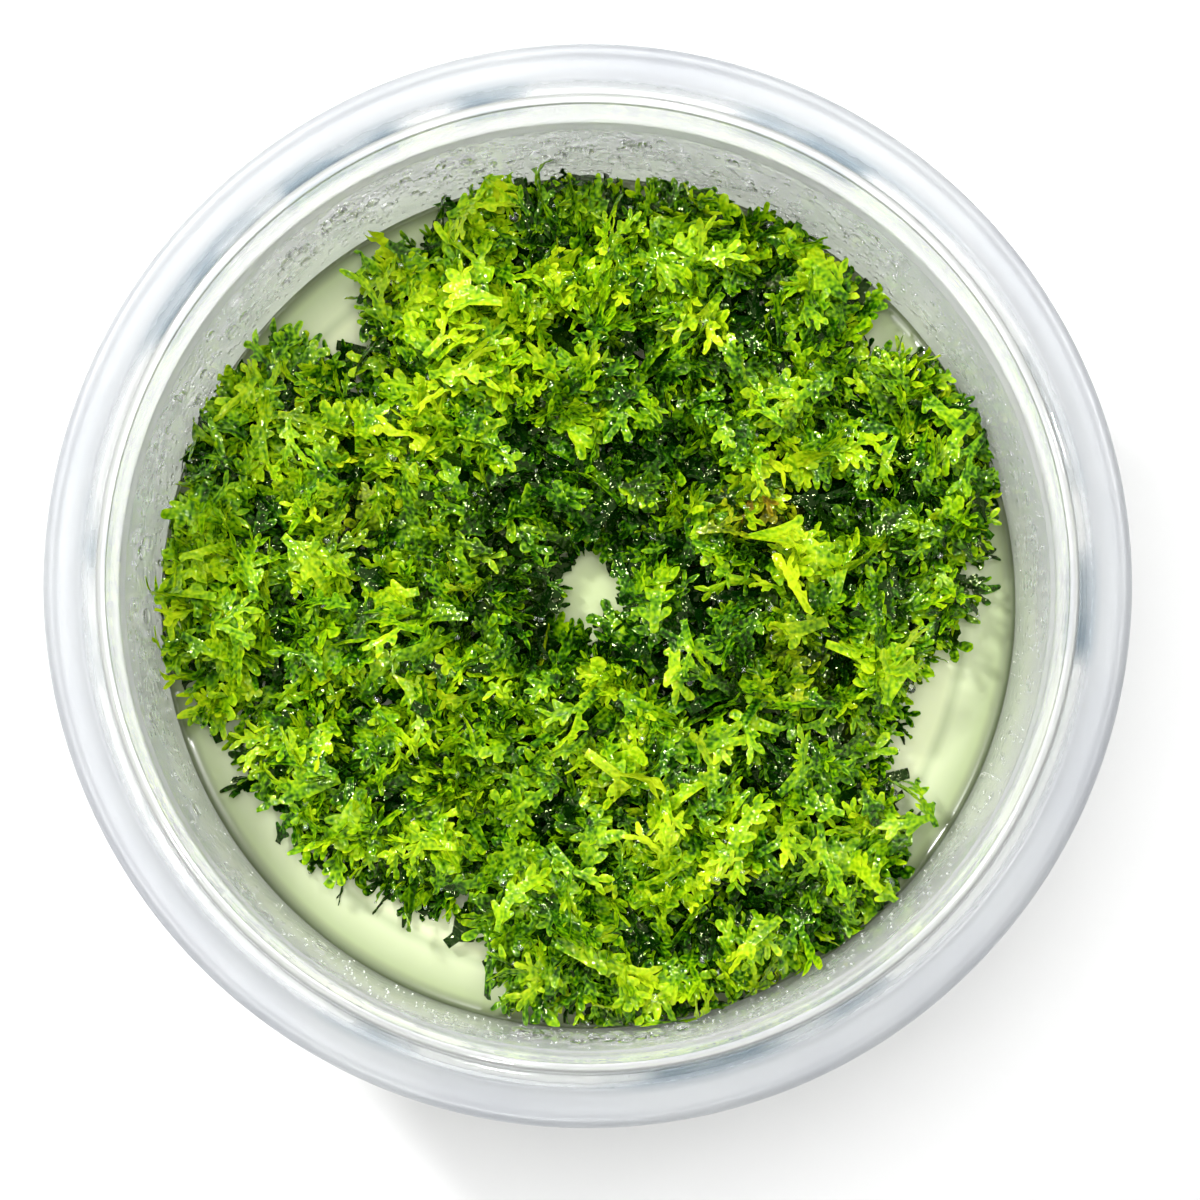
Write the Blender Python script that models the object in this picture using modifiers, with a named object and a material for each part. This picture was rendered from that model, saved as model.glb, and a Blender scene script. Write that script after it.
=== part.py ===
"""A clump of coral moss grown on gel in a shallow clear culture cup.

The cup and the gel are turned shapes. The clump is six tufts that grew towards each other and meet
round a small bare pool of gel at the middle; each is a plain lump that reaches its fronds' tips.
"""

import math

import bmesh
import bpy

MM = 0.001

# Driving dimensions, in millimetres. The cup stands on z = 0 with its axis on Z.
CUP_HEIGHT = 44.0
RIM_RADIUS = 50.0
FLOOR_THICKNESS = 1.2
WALL_THICKNESS = 1.0
FLOOR_RADIUS = 39.9  # inside of the wall, just above its bottom corner
FLOOR_CORNER = 3.0
STEP_RADIUS = 43.2  # inside of the wall, where the lid's plug stops
STEP_HEIGHT = 36.6
LIP_RADIUS = 44.6  # middle of the lip's rounded top
LIP_HALF = 0.45
GROOVE_INNER = 45.2
GROOVE_OUTER = 46.1
GROOVE_DEPTH = 2.2
FLANGE_DROP = 0.7  # the flange's top below the lip's top
FLANGE_THICKNESS = 1.1
SHOULDER = 0.9
SKIRT_DROP = 4.4
SKIRT_THICKNESS = 0.8
BASE_CORNER = 2.0
GEL_TOP = 21.0
MENISCUS = 0.6
GAP = 0.3  # between solids that touch
TURN_STEPS = 72
FOOT_SCALE = 0.94  # a tuft's foot beside its waist
CROWN_SCALE = 0.88
TUFT_WAIST = 0.5  # of its height
TUFT_ROUNDING = 1.4

# Each tuft: its height above the gel, and its outline seen from above.
TUFTS = {
    "tuft_left": (9.5, [
        (-6.4, -0.6), (-6.0, 5.4), (-13.4, 11.4), (-19.6, 16.8), (-24.4, 21.0), (-30.0, 25.0),
        (-36.4, 18.8), (-39.8, 11.0), (-41.2, 3.6), (-40.8, -4.6), (-36.6, -12.4), (-27.4, -9.2),
        (-16.0, -5.4),
    ]),
    "tuft_upper_left": (11.0, [
        (1.2, 6.8), (2.8, 13.8), (2.4, 23.2), (3.4, 31.8), (2.2, 40.4), (-5.5, 40.4),
        (-13.2, 38.4), (-18.0, 35.0), (-22.0, 29.0), (-21.6, 23.2), (-18.4, 18.8), (-11.6, 14.2),
        (-4.0, 7.6),
    ]),
    "tuft_upper_right": (11.0, [
        (4.6, 8.4), (10.6, 13.9), (19.2, 18.8), (26.0, 25.4), (27.0, 27.6), (25.0, 31.4),
        (18.2, 36.6), (10.6, 39.6), (3.4, 40.4), (4.6, 31.8), (3.6, 23.2), (4.0, 13.8),
    ]),
    "tuft_right": (10.0, [
        (6.0, 6.9), (5.4, -2.2), (11.0, -8.2), (20.4, -12.0), (29.4, -14.0), (33.8, -5.5),
        (35.9, 3.1), (37.8, 6.4), (38.2, 13.6), (36.2, 18.8), (32.0, 23.6), (27.2, 23.9),
        (19.9, 17.6), (11.4, 12.5),
    ]),
    "tuft_bottom": (10.0, [
        (5.2, -3.8), (-2.4, -5.6), (-3.8, -12.2), (-6.2, -19.9), (-10.3, -27.6), (-11.8, -32.8),
        (-8.4, -37.6), (-3.5, -40.9), (5.9, -40.7), (14.2, -38.5), (25.0, -32.2), (29.6, -27.5),
        (29.5, -23.0), (30.4, -17.6), (27.8, -15.3), (20.4, -13.5), (10.8, -9.6),
    ]),
    "tuft_lower_left": (9.0, [
        (-4.2, -6.2), (-6.6, -2.4), (-15.8, -7.0), (-27.2, -10.9), (-33.6, -14.8), (-31.4, -17.5),
        (-27.4, -20.9), (-28.4, -23.3), (-26.2, -25.6), (-18.0, -27.8), (-15.1, -30.2),
        (-11.8, -27.4), (-7.7, -19.9), (-5.3, -12.2),
    ]),
}


def clear_scene():
    for old in list(bpy.data.objects):
        bpy.data.objects.remove(old)


def new_collection(name):
    collection = bpy.data.collections.new(name)
    bpy.context.scene.collection.children.link(collection)
    return collection


def new_material(name, colour, roughness, transmission=0.0):
    material = bpy.data.materials.new(name)
    material.use_nodes = True
    surface = material.node_tree.nodes["Principled BSDF"]
    surface.inputs["Base Color"].default_value = (*colour, 1.0)
    surface.inputs["Roughness"].default_value = roughness
    surface.inputs["Metallic"].default_value = 0.0
    surface.inputs["Transmission Weight"].default_value = transmission
    return material


def arc(centre_r, centre_z, radius, start_deg, end_deg, steps):
    """Points (r, z) along an arc of a turned profile."""
    points = []
    for step in range(steps + 1):
        angle = math.radians(start_deg + (end_deg - start_deg) * step / steps)
        points.append((centre_r + radius * math.cos(angle), centre_z + radius * math.sin(angle)))
    return points


def wall_radius(z):
    """Inside of the cup's tapering wall at height z."""
    share = (z - FLOOR_THICKNESS) / (STEP_HEIGHT - FLOOR_THICKNESS)
    return FLOOR_RADIUS + (STEP_RADIUS - FLOOR_RADIUS) * share


def turned(name, profile, material, collection):
    """A closed solid turned about Z from a profile of (r, z) that starts and ends on the axis."""
    mesh = bpy.data.meshes.new(name)
    bm = bmesh.new()
    points = [bm.verts.new((r * MM, 0.0, z * MM)) for r, z in profile]
    for first, second in zip(points, points[1:]):
        bm.edges.new((first, second))
    bm.to_mesh(mesh)
    bm.free()
    mesh.materials.append(material)
    solid = bpy.data.objects.new(name, mesh)
    collection.objects.link(solid)
    screw = solid.modifiers.new("turn", "SCREW")
    screw.axis = "Z"
    screw.steps = TURN_STEPS
    screw.render_steps = TURN_STEPS
    screw.use_merge_vertices = True
    screw.merge_threshold = 0.00001
    screw.use_smooth_shade = True
    return solid


def cup_profile():
    """From the middle of the cup's floor, up the inside, over the rim and down the outside."""
    inside = [(0.0, FLOOR_THICKNESS)]
    corner_z = FLOOR_THICKNESS + FLOOR_CORNER
    inside += arc(wall_radius(corner_z) - FLOOR_CORNER, corner_z, FLOOR_CORNER, -90, 0, 4)
    inside += [(STEP_RADIUS, STEP_HEIGHT), (STEP_RADIUS + 0.35, STEP_HEIGHT + 0.7)]
    lip = arc(LIP_RADIUS, CUP_HEIGHT - LIP_HALF, LIP_HALF, 180, 0, 4)
    flange_top = CUP_HEIGHT - FLANGE_DROP
    groove_floor = CUP_HEIGHT - GROOVE_DEPTH
    groove = [(GROOVE_INNER, groove_floor), (GROOVE_OUTER, groove_floor)]
    shoulder = arc(RIM_RADIUS - SHOULDER, flange_top - SHOULDER, SHOULDER, 90, 0, 3)
    skirt_foot = CUP_HEIGHT - SKIRT_DROP
    skirt_inside = RIM_RADIUS - SKIRT_THICKNESS
    flange = [(GROOVE_OUTER + 0.4, flange_top), *shoulder, (RIM_RADIUS, skirt_foot)]
    under = [
        (skirt_inside, skirt_foot),
        (skirt_inside, flange_top - FLANGE_THICKNESS),
        (GROOVE_OUTER + 0.9, flange_top - FLANGE_THICKNESS),
        (GROOVE_OUTER + 0.5, groove_floor - WALL_THICKNESS),
        (GROOVE_INNER - 0.3, groove_floor - WALL_THICKNESS),
        (STEP_RADIUS + WALL_THICKNESS, STEP_HEIGHT),
    ]
    base = arc(wall_radius(BASE_CORNER) + WALL_THICKNESS - BASE_CORNER, BASE_CORNER, BASE_CORNER, 0, -90, 3)
    return inside + lip + groove + flange + under + base + [(0.0, 0.0)]


def gel_profile():
    """From the middle of the gel's top, out over its meniscus and down the cup's inside."""
    top = [(0.0, GEL_TOP), (wall_radius(GEL_TOP) - 2.4, GEL_TOP)]
    top.append((wall_radius(GEL_TOP) - 1.1, GEL_TOP + 0.2 * MENISCUS))
    edge_z = GEL_TOP + MENISCUS
    side = [(wall_radius(edge_z) - GAP, edge_z)]
    corner_z = FLOOR_THICKNESS + FLOOR_CORNER
    corner = arc(wall_radius(corner_z) - FLOOR_CORNER, corner_z, FLOOR_CORNER - GAP, 0, -90, 4)
    return top + side + corner + [(0.0, FLOOR_THICKNESS + GAP)]


def scale_ring(ring, middle, factor):
    """Draws a ring of points in towards, or out from, the middle, at its own height."""
    for point in ring:
        point.co.x = middle.x + (point.co.x - middle.x) * factor
        point.co.y = middle.y + (point.co.y - middle.y) * factor


def tuft(name, height, outline, material, collection):
    """A lump from the gel up to the tips of its fronds, narrower at its foot and at its crown."""
    bm = bmesh.new()
    foot = [bm.verts.new((x * MM, y * MM, (GEL_TOP + GAP) * MM)) for x, y in outline]
    face = bm.faces.new(foot)
    middle = face.calc_center_median()
    rim = list(face.edges)
    scale_ring(foot, middle, FOOT_SCALE)
    for rise, scale in ((TUFT_WAIST, 1.0 / FOOT_SCALE), (1.0 - TUFT_WAIST, CROWN_SCALE)):
        grown = bmesh.ops.extrude_edge_only(bm, edges=rim)["geom"]
        ring = [item for item in grown if isinstance(item, bmesh.types.BMVert)]
        rim = [item for item in grown if isinstance(item, bmesh.types.BMEdge)]
        bmesh.ops.translate(bm, verts=ring, vec=(0.0, 0.0, rise * height * MM))
        scale_ring(ring, middle, scale)
    bmesh.ops.contextual_create(bm, geom=rim)
    bmesh.ops.recalc_face_normals(bm, faces=bm.faces)
    mesh = bpy.data.meshes.new(name)
    bm.to_mesh(mesh)
    bm.free()
    mesh.materials.append(material)
    mesh.shade_smooth()
    lump = bpy.data.objects.new(name, mesh)
    collection.objects.link(lump)
    soften = lump.modifiers.new("soften", "BEVEL")
    soften.width = TUFT_ROUNDING * MM
    soften.segments = 2
    soften.limit_method = "NONE"
    return lump


def build():
    clear_scene()
    parts = new_collection("moss_clump")
    plastic = new_material("cup_plastic", (0.92, 0.94, 0.95), 0.35, 0.6)
    turned("culture_cup", cup_profile(), plastic, parts)
    agar = new_material("nutrient_gel", (0.88, 0.89, 0.68), 0.12, 0.3)
    turned("nutrient_gel", gel_profile(), agar, parts)
    for name, (height, outline) in TUFTS.items():
        green = new_material("moss_" + name, (0.16, 0.36, 0.02), 0.4)
        tuft(name, height, outline, green, parts)


build()
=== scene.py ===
# %% [markdown]
# # A moss clump in its culture cup
# Coral moss is a small liverwort: every plant is a flat green ribbon that forks again and again and ends
# in round scalloped lobes. Here a clump of it has filled a shallow clear cup of pale gel. The script
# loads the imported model, which is the fixed frame, and builds the looks around it: the clear cup, the wet
# gel, the water that has condensed on the wall, and thousands of fronds.

# %% Load the frame
import math

import bmesh
import bpy
import numpy as np
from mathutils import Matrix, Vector
from mathutils.bvhtree import BVHTree


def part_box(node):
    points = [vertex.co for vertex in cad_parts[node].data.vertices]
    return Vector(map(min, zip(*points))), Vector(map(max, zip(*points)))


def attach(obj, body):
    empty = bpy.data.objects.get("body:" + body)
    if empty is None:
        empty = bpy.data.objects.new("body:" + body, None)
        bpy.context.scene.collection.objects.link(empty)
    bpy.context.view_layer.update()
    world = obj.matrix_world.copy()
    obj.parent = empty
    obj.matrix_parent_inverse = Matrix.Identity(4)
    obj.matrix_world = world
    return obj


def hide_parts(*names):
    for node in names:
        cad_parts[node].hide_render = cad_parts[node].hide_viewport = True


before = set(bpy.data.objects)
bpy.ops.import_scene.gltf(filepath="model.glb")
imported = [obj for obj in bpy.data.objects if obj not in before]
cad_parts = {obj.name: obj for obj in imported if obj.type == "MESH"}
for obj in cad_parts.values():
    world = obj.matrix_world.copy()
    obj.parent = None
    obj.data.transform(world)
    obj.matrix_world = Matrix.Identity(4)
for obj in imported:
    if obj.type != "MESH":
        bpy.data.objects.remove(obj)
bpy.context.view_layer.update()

MM = 0.001
SEED = 7

cup_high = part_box("culture_cup")[1]
gel_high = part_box("nutrient_gel")[1]
RIM_RADIUS = cup_high.x / MM
CUP_HEIGHT = cup_high.z / MM
GEL_EDGE = gel_high.z / MM
print("rim radius", round(RIM_RADIUS, 1), "mm, cup height", round(CUP_HEIGHT, 1), "mm")

# %% [markdown]
# ## The view
# The cup is seen from almost straight above. A long lens from 320 mm keeps the rim round, and the small
# lean towards the viewer shows a little more of the far wall than of the near one.

# %% Camera
VIEW_DISTANCE = 320.0
VIEW_LEAN = 28.0  # how far the camera stands towards the viewer from the point it looks at
VIEW_WIDTH = 109.6  # of the picture, at the rim
AIM = (1.14, -2.1, CUP_HEIGHT)
SENSOR = 36.0

camera_data = bpy.data.cameras.new("view")
camera_data.sensor_width = SENSOR
camera_data.lens = SENSOR * VIEW_DISTANCE / VIEW_WIDTH
camera_data.clip_start = 0.01
camera = bpy.data.objects.new("view", camera_data)
bpy.context.scene.collection.objects.link(camera)
rise = math.sqrt(VIEW_DISTANCE**2 - VIEW_LEAN**2)
aim = Vector(AIM) * MM
camera.location = aim + Vector((0.0, -VIEW_LEAN, rise)) * MM
camera.rotation_euler = (aim - camera.location).to_track_quat("-Z", "Y").to_euler()
bpy.context.scene.camera = camera
print("lens", round(camera_data.lens, 1), "mm")

# %% [markdown]
# ## Light and floor
# A white table under a large soft lamp gives the even pale surroundings. The soft lamp has no mirror image,
# so it never lays a grey veil over wet fronds. Small lamps around the cup do the opposite: they only make
# the sharp white glints. The colours are shown as they are, with no film curve, so leaf green stays clean.

# %% Studio
bpy.context.scene.view_settings.view_transform = "Standard"
bpy.context.scene.view_settings.look = "None"


def area_lamp(name, location, size, power):
    """A round lamp at a place in millimetres that faces the moss."""
    lamp_data = bpy.data.lights.new(name, "AREA")
    lamp_data.shape = "DISK"
    lamp_data.size = size * MM
    lamp_data.energy = power
    lamp = bpy.data.objects.new(name, lamp_data)
    lamp.location = Vector(location) * MM
    toward = Vector((0.0, 0.0, 25.0)) * MM - lamp.location
    lamp.rotation_euler = toward.to_track_quat("-Z", "Y").to_euler()
    bpy.context.scene.collection.objects.link(lamp)
    return lamp


area_lamp("soft_top", (20, 40, 640), 380, 2.8).visible_glossy = False
area_lamp("key", (-260, 240, 420), 80, 2.4)
GLINTS = {"right": (240, 120, 460), "near": (-60, -260, 480), "far": (40, 330, 430), "left": (-200, -90, 500)}
for side, place in GLINTS.items():
    area_lamp("glint_" + side, place, 30, 0.9).visible_diffuse = False

world = bpy.data.worlds.new("room")
world.use_nodes = True
world.node_tree.nodes["Background"].inputs["Color"].default_value = (1.0, 1.0, 1.0, 1.0)
world.node_tree.nodes["Background"].inputs["Strength"].default_value = 0.54
bpy.context.scene.world = world

# %% Floor
FLOOR_HALF = 1.6  # metres

floor_mesh = bpy.data.meshes.new("floor")
bm = bmesh.new()
bmesh.ops.create_grid(bm, x_segments=1, y_segments=1, size=FLOOR_HALF)
bm.to_mesh(floor_mesh)
bm.free()
floor = bpy.data.objects.new("floor", floor_mesh)
bpy.context.scene.collection.objects.link(floor)
floor_material = bpy.data.materials.new("white_table")
floor_material.use_nodes = True
floor_surface = floor_material.node_tree.nodes["Principled BSDF"]
floor_surface.inputs["Base Color"].default_value = (0.84, 0.84, 0.84, 1.0)
floor_surface.inputs["Roughness"].default_value = 0.7
floor_mesh.materials.append(floor_material)

# %% [markdown]
# ## Helpers for turned shapes and materials
# The cup and the gel are round, so each is one outline spun about the axis. The full spin merges its
# first and last rows. A material starts as one Principled shader; colours are mixed from named values.


# %% Turned shapes
def new_piece(name, bm, material):
    """A smooth-shaded object at the origin from a bmesh in metres, riding on the root body."""
    mesh = bpy.data.meshes.new(name)
    bm.to_mesh(mesh)
    bm.free()
    mesh.shade_smooth()
    mesh.materials.append(material)
    piece = bpy.data.objects.new(name, mesh)
    bpy.context.scene.collection.objects.link(piece)
    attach(piece, "root")
    return piece


def arc(centre_r, centre_z, radius, start_deg, end_deg, steps):
    """Points (r, z) along an arc of an outline."""
    angles = np.radians(np.linspace(start_deg, end_deg, steps + 1))
    return [(centre_r + radius * math.cos(a), centre_z + radius * math.sin(a)) for a in angles]


def spun(outline, steps):
    """A closed solid spun about Z from an outline of (r, z) in millimetres that starts and ends at r = 0."""
    bm = bmesh.new()
    points = [bm.verts.new((r * MM, 0.0, z * MM)) for r, z in outline]
    edges = [bm.edges.new(pair) for pair in zip(points, points[1:])]
    bmesh.ops.spin(
        bm, geom=points + edges, cent=(0, 0, 0), axis=(0, 0, 1), angle=math.tau, steps=steps, use_merge=True
    )
    bmesh.ops.remove_doubles(bm, verts=bm.verts, dist=0.01 * MM)
    bmesh.ops.recalc_face_normals(bm, faces=bm.faces)
    return bm


# %% Shader helpers
class Paint:
    """Short calls for building one material's nodes."""

    def __init__(self, name):
        self.material = bpy.data.materials.new(name)
        self.material.use_nodes = True
        self.tree = self.material.node_tree
        self.surface = self.tree.nodes["Principled BSDF"]
        self.output = self.tree.nodes["Material Output"]

    def node(self, kind, **settings):
        made = self.tree.nodes.new(kind)
        for key, value in settings.items():
            setattr(made, key, value)
        return made

    def wire(self, source, target):
        self.tree.links.new(source, target)

    def value(self, socket, number):
        self.surface.inputs[socket].default_value = number

    def place(self):
        """Object coordinates."""
        return self.node("ShaderNodeTexCoord").outputs["Object"]

    def group(self, shared, **values):
        """Places a shared node group: each value is a number or a socket."""
        made = self.node("ShaderNodeGroup", node_tree=shared)
        self.wire(self.place(), made.inputs["Position"])
        for name, item in values.items():
            if isinstance(item, (int, float)):
                made.inputs[name].default_value = item
            else:
                self.wire(item, made.inputs[name])
        return made.outputs

    def noise(self, scale, detail=2.0):
        return self.group(SPECKLE, Scale=scale, Detail=detail)["Value"]

    def attribute(self, name):
        return self.node("ShaderNodeAttribute", attribute_name=name).outputs["Fac"]

    def ramp(self, source, stops):
        """Colours along a value: stops of (position, colour)."""
        ramp = self.node("ShaderNodeValToRGB")
        line = ramp.color_ramp.elements
        while len(line) < len(stops):
            line.new(0.5)
        for element, (position, colour) in zip(line, stops):
            element.position = position
            element.color = (*colour, 1.0)
        self.wire(source, ramp.inputs["Fac"])
        return ramp.outputs["Color"]

    def span(self, source, low, high, to_low=0.0, to_high=1.0):
        """Maps low..high to to_low..to_high, clamped."""
        mapped = self.node("ShaderNodeMapRange")
        limits = {"From Min": low, "From Max": high, "To Min": to_low, "To Max": to_high}
        for socket, number in limits.items():
            mapped.inputs[socket].default_value = number
        self.wire(source, mapped.inputs["Value"])
        return mapped.outputs["Result"]

    def sum(self, operation, first, second):
        """A math node on two values, each a socket or a number."""
        made = self.node("ShaderNodeMath", operation=operation)
        for socket, item in zip(made.inputs, (first, second)):
            if isinstance(item, (int, float)):
                socket.default_value = item
            else:
                self.wire(item, socket)
        return made.outputs["Value"]

    def mix(self, factor, first, second):
        """A colour mix; factor is a socket, the colours are sockets or tuples."""
        made = self.node("ShaderNodeMix", data_type="RGBA")
        self.wire(factor, made.inputs["Factor"])
        for name, item in (("A", first), ("B", second)):
            socket = next(s for s in made.inputs if s.name == name and s.type == "RGBA")
            if isinstance(item, tuple):
                socket.default_value = (*item, 1.0)
            else:
                self.wire(item, socket)
        return next(s for s in made.outputs if s.type == "RGBA")

    def radius_and_height(self):
        found = self.group(TURNED_PLACE)
        return found["Radius"], found["Height"]

    def skin(self, scale, strength, distance_mm, extra=None):
        """The uneven wet skin that every part of the object shares."""
        values = {"Scale": scale, "Strength": strength, "Distance": distance_mm * MM}
        if extra is not None:
            values["Extra"] = extra
        self.wire(self.group(WET_SKIN, **values)["Normal"], self.surface.inputs["Normal"])


# %% [markdown]
# Three effects belong to more than one material, so each is a node group that is built once. One tells
# how far a spot is from the cup's axis and how high it stands. One is a fine speckle. The last is the
# slightly uneven skin that water and moulding leave on plastic, gel and fronds alike.


# %% Shared node groups
def node_group(name, inputs, outputs):
    """An empty shader group with float inputs, a Position vector and outputs of given kinds."""
    group = bpy.data.node_groups.new(name, "ShaderNodeTree")
    group.interface.new_socket("Position", in_out="INPUT", socket_type="NodeSocketVector")
    for socket, start in inputs.items():
        made = group.interface.new_socket(socket, in_out="INPUT", socket_type="NodeSocketFloat")
        made.default_value = start
    for socket, kind in outputs.items():
        group.interface.new_socket(socket, in_out="OUTPUT", socket_type=kind)
    return group, group.nodes.new("NodeGroupInput").outputs, group.nodes.new("NodeGroupOutput").inputs


def turned_place():
    outputs = {"Radius": "NodeSocketFloat", "Height": "NodeSocketFloat"}
    group, given, result = node_group("turned_place", {}, outputs)
    in_mm = group.nodes.new("ShaderNodeVectorMath")
    in_mm.operation = "DIVIDE"
    in_mm.inputs[1].default_value = (MM, MM, MM)
    split = group.nodes.new("ShaderNodeSeparateXYZ")
    flat = group.nodes.new("ShaderNodeCombineXYZ")
    length = group.nodes.new("ShaderNodeVectorMath")
    length.operation = "LENGTH"
    for source, target in (
        (given["Position"], in_mm.inputs[0]),
        (in_mm.outputs["Vector"], split.inputs["Vector"]),
        (split.outputs["X"], flat.inputs["X"]),
        (split.outputs["Y"], flat.inputs["Y"]),
        (flat.outputs["Vector"], length.inputs[0]),
        (length.outputs["Value"], result["Radius"]),
        (split.outputs["Z"], result["Height"]),
    ):
        group.links.new(source, target)
    return group


def speckle():
    starts = {"Scale": 100.0, "Detail": 1.0}
    group, given, result = node_group("speckle", starts, {"Value": "NodeSocketFloat"})
    texture = group.nodes.new("ShaderNodeTexNoise")
    group.links.new(given["Position"], texture.inputs["Vector"])
    for socket in ("Scale", "Detail"):
        group.links.new(given[socket], texture.inputs[socket])
    group.links.new(texture.outputs["Fac"], result["Value"])
    return group


def wet_skin():
    starts = {"Scale": 100.0, "Strength": 0.3, "Distance": 0.2 * MM, "Extra": 0.0}
    group, given, result = node_group("wet_skin", starts, {"Normal": "NodeSocketVector"})
    texture = group.nodes.new("ShaderNodeTexNoise")
    texture.inputs["Detail"].default_value = 0.0
    both = group.nodes.new("ShaderNodeMath")
    both.operation = "ADD"
    bump = group.nodes.new("ShaderNodeBump")
    for source, target in (
        (given["Position"], texture.inputs["Vector"]),
        (given["Scale"], texture.inputs["Scale"]),
        (texture.outputs["Fac"], both.inputs[0]),
        (given["Extra"], both.inputs[1]),
        (both.outputs["Value"], bump.inputs["Height"]),
        (given["Strength"], bump.inputs["Strength"]),
        (given["Distance"], bump.inputs["Distance"]),
        (bump.outputs["Normal"], result["Normal"]),
    ):
        group.links.new(source, target)
    return group


TURNED_PLACE, SPECKLE, WET_SKIN = turned_place(), speckle(), wet_skin()
print("shared groups:", sorted(group.name for group in bpy.data.node_groups))

# %% [markdown]
# ## The cup
# One moulding of slightly milky plastic. From inside to outside its rim has a rounded lip, a narrow
# groove that the lid snaps into, and a broad flange that turns down in a skirt.

# %% Cup outline
LIP_RADIUS = 44.6
LIP_HALF = 0.45
STEP_RADIUS = 43.2
STEP_HEIGHT = 36.6
FLOOR_THICKNESS = 1.2
FLOOR_RADIUS = 39.9
CORNER = 3.0
WALL = 1.0
GROOVE = (45.2, 46.1)
GROOVE_FLOOR = CUP_HEIGHT - 2.2
FLANGE_TOP = CUP_HEIGHT - 0.7
SHOULDER = 0.9
SKIRT = 4.4


def wall_radius(z):
    """Inside of the tapering wall at height z."""
    share = (z - FLOOR_THICKNESS) / (STEP_HEIGHT - FLOOR_THICKNESS)
    return FLOOR_RADIUS + (STEP_RADIUS - FLOOR_RADIUS) * share


def cup_outline():
    corner_z = FLOOR_THICKNESS + CORNER
    outline = [(0.0, FLOOR_THICKNESS), (20.0, FLOOR_THICKNESS)]
    outline += arc(wall_radius(corner_z) - CORNER, corner_z, CORNER, -90, 0, 8)
    outline += [(wall_radius(z), z) for z in (12.0, 20.0, 28.0)]
    outline += [(STEP_RADIUS, STEP_HEIGHT), (STEP_RADIUS + 0.12, STEP_HEIGHT + 0.35)]
    outline += [(STEP_RADIUS + 0.4, STEP_HEIGHT + 0.75), (STEP_RADIUS + 0.75, CUP_HEIGHT - 2.2)]
    outline += arc(LIP_RADIUS, CUP_HEIGHT - LIP_HALF, LIP_HALF, 180, 0, 8)
    outline += [(GROOVE[0] - 0.05, GROOVE_FLOOR + 0.5), (GROOVE[0] + 0.1, GROOVE_FLOOR + 0.1)]
    outline += [(GROOVE[0] + 0.3, GROOVE_FLOOR), (GROOVE[1] - 0.2, GROOVE_FLOOR)]
    outline += [(GROOVE[1], GROOVE_FLOOR + 0.15), (GROOVE[1] + 0.15, FLANGE_TOP - 0.5)]
    outline += arc(GROOVE[1] + 0.65, FLANGE_TOP - 0.5, 0.5, 180, 90, 4)
    outline += arc(RIM_RADIUS - SHOULDER, FLANGE_TOP - SHOULDER, SHOULDER, 90, 0, 6)
    skirt_foot = CUP_HEIGHT - SKIRT
    outline += [(RIM_RADIUS, skirt_foot + 0.2), (RIM_RADIUS - 0.2, skirt_foot)]
    outline += [(RIM_RADIUS - 0.6, skirt_foot), (RIM_RADIUS - 0.8, skirt_foot + 0.2)]
    outline += arc(RIM_RADIUS - 1.3, FLANGE_TOP - 1.6, 0.5, 0, 90, 3)
    outline += [(GROOVE[1] + 1.0, FLANGE_TOP - 1.1), (GROOVE[1] + 0.6, GROOVE_FLOOR - WALL)]
    outline += [(GROOVE[0] - 0.2, GROOVE_FLOOR - WALL), (STEP_RADIUS + WALL, STEP_HEIGHT)]
    outline += [(wall_radius(z) + WALL, z) for z in (28.0, 20.0, 12.0)]
    outline += arc(wall_radius(2.0) + WALL - 2.0, 2.0, 2.0, 0, -90, 6)
    outline += [(20.0, 0.0), (0.0, 0.0)]
    return outline


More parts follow.
